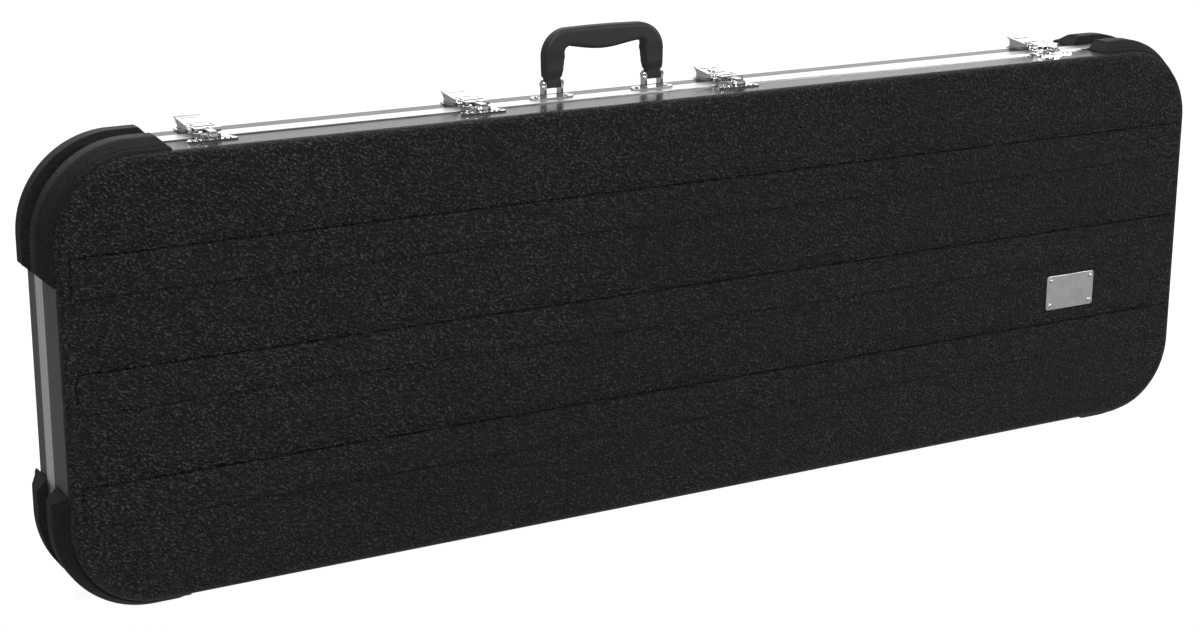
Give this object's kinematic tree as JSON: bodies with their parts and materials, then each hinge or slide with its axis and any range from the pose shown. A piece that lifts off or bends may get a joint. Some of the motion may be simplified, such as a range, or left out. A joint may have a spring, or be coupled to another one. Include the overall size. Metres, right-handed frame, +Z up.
{
  "type": "bass guitar case",
  "caption": "Rectangular moulded case for a bass guitar with an aluminium edge, chrome latches, corner bumpers, a folding handle and a plush-lined hinged lid.",
  "frame": {"origin": "middle of the overall box, on the floor under the bumpers", "axes": "+X along the case, away from the body end; the lid faces -Y; +Z up towards the latches and handle"},
  "size_m": [1.248, 0.1003, 0.4698],
  "materials": {
    "abs_shell": "leather-grain faces, smooth satin sides",
    "edge_aluminium": "satin extruded edge",
    "bumper_plastic": "fine matt grain",
    "latch_chrome": "bright plated",
    "rivet_steel": "plated rivets",
    "hinge_steel": "zinc plated",
    "badge_steel": "satin, bare",
    "handle_plastic": "moulded, soft touch",
    "plush": "short pile over foam"
  },
  "bodies": {
    "base": {"base_shell": "abs_shell", "base_valance": "edge_aluminium", "base_liner": "plush", "neck_rest": "plush", "accessory_box": "plush", "accessory_pin": "hinge_steel", "base_bumper_top_right": "bumper_plastic", "base_bumper_top_left": "bumper_plastic", "base_bumper_low_right": "bumper_plastic", "base_bumper_low_left": "bumper_plastic", "hinge_leaf_base_1": "hinge_steel", "hinge_leaf_base_2": "hinge_steel", "hinge_leaf_base_3": "hinge_steel", "hinge_pins": "hinge_steel", "base_hinge_rivets": "rivet_steel", "latch_base_1": "latch_chrome", "latch_base_2": "latch_chrome", "latch_base_3": "latch_chrome", "latch_base_4": "latch_chrome", "latch_pins": "latch_chrome", "latch_rivets": "rivet_steel", "handle_mount_left": "latch_chrome", "handle_mount_right": "latch_chrome", "mount_rivets": "rivet_steel", "handle_pins": "latch_chrome"},
    "lid": {"lid_shell": "abs_shell", "lid_valance": "edge_aluminium", "lid_liner": "plush", "badge_plate": "badge_steel", "badge_rivets": "rivet_steel", "lid_bumper_top_right": "bumper_plastic", "lid_bumper_top_left": "bumper_plastic", "lid_bumper_low_right": "bumper_plastic", "lid_bumper_low_left": "bumper_plastic", "hinge_leaf_lid_1": "hinge_steel", "hinge_leaf_lid_2": "hinge_steel", "hinge_leaf_lid_3": "hinge_steel", "lid_hinge_rivets": "rivet_steel", "keeper_1": "latch_chrome", "keeper_2": "latch_chrome", "keeper_3": "latch_chrome", "keeper_4": "latch_chrome", "keeper_rivets": "rivet_steel"},
    "lever_1": {"latch_lever_1": "latch_chrome", "hook_pin_1": "latch_chrome"},
    "hook_1": {"latch_hook_1": "latch_chrome"},
    "lever_2": {"latch_lever_2": "latch_chrome", "hook_pin_2": "latch_chrome"},
    "hook_2": {"latch_hook_2": "latch_chrome"},
    "lever_3": {"latch_lever_3": "latch_chrome", "hook_pin_3": "latch_chrome"},
    "hook_3": {"latch_hook_3": "latch_chrome"},
    "lever_4": {"latch_lever_4": "latch_chrome", "hook_pin_4": "latch_chrome"},
    "hook_4": {"latch_hook_4": "latch_chrome"},
    "lock": {"lock_cylinder": "latch_chrome"},
    "handle": {"handle_core": "hinge_steel", "handle_grip": "handle_plastic"},
    "box_lid": {"accessory_lid": "plush"}
  },
  "joints": [
    {"name": "lid_hinge", "type": "hinge", "parent": "base", "child": "lid", "pos_m": [0, 0.00673, 0.0045], "axis": [1, 0, 0], "range_deg": [0, 105]},
    {"name": "lever_1_lift", "type": "hinge", "parent": "base", "child": "lever_1", "pos_m": [-0.465, 0.01013, 0.4082], "axis": [1, 0, 0], "range_deg": [0, 80]},
    {"name": "hook_1_swing", "type": "hinge", "parent": "lever_1", "child": "hook_1", "pos_m": [-0.465, 0.01432, 0.4106], "axis": [1, 0, 0], "range_deg": [-100, 0]},
    {"name": "lever_2_lift", "type": "hinge", "parent": "base", "child": "lever_2", "pos_m": [-0.209, 0.01013, 0.4082], "axis": [1, 0, 0], "range_deg": [0, 80]},
    {"name": "hook_2_swing", "type": "hinge", "parent": "lever_2", "child": "hook_2", "pos_m": [-0.209, 0.01432, 0.4106], "axis": [1, 0, 0], "range_deg": [-100, 0]},
    {"name": "lever_3_lift", "type": "hinge", "parent": "base", "child": "lever_3", "pos_m": [0.064, 0.01013, 0.4082], "axis": [1, 0, 0], "range_deg": [0, 80]},
    {"name": "hook_3_swing", "type": "hinge", "parent": "lever_3", "child": "hook_3", "pos_m": [0.064, 0.01432, 0.4106], "axis": [1, 0, 0], "range_deg": [-100, 0]},
    {"name": "lever_4_lift", "type": "hinge", "parent": "base", "child": "lever_4", "pos_m": [0.453, 0.01013, 0.4082], "axis": [1, 0, 0], "range_deg": [0, 80]},
    {"name": "hook_4_swing", "type": "hinge", "parent": "lever_4", "child": "hook_4", "pos_m": [0.453, 0.01432, 0.4106], "axis": [1, 0, 0], "range_deg": [-100, 0]},
    {"name": "lock_turn", "type": "hinge", "parent": "lever_3", "child": "lock", "pos_m": [0.064, 0.03022, 0.4132], "axis": [0, -0.1096, 0.994], "range_deg": [0, 90]},
    {"name": "handle_fold", "type": "hinge", "parent": "base", "child": "handle", "pos_m": [-0.068, 0.01443, 0.4182], "axis": [1, 0, 0], "range_deg": [-85, 85]},
    {"name": "box_lid_hinge", "type": "hinge", "parent": "base", "child": "box_lid", "pos_m": [0.197, 0.01132, 0.0368], "axis": [1, 0, 0], "range_deg": [0, 78.75]}
  ],
  "couplings": [
    {"joint": "hook_1_swing", "follows": "lever_1_lift", "ratio": -1.25},
    {"joint": "hook_2_swing", "follows": "lever_2_lift", "ratio": -1.25},
    {"joint": "hook_3_swing", "follows": "lever_3_lift", "ratio": -1.25},
    {"joint": "hook_4_swing", "follows": "lever_4_lift", "ratio": -1.25},
    {"joint": "box_lid_hinge", "follows": "lid_hinge", "ratio": 0.75}
  ]
}
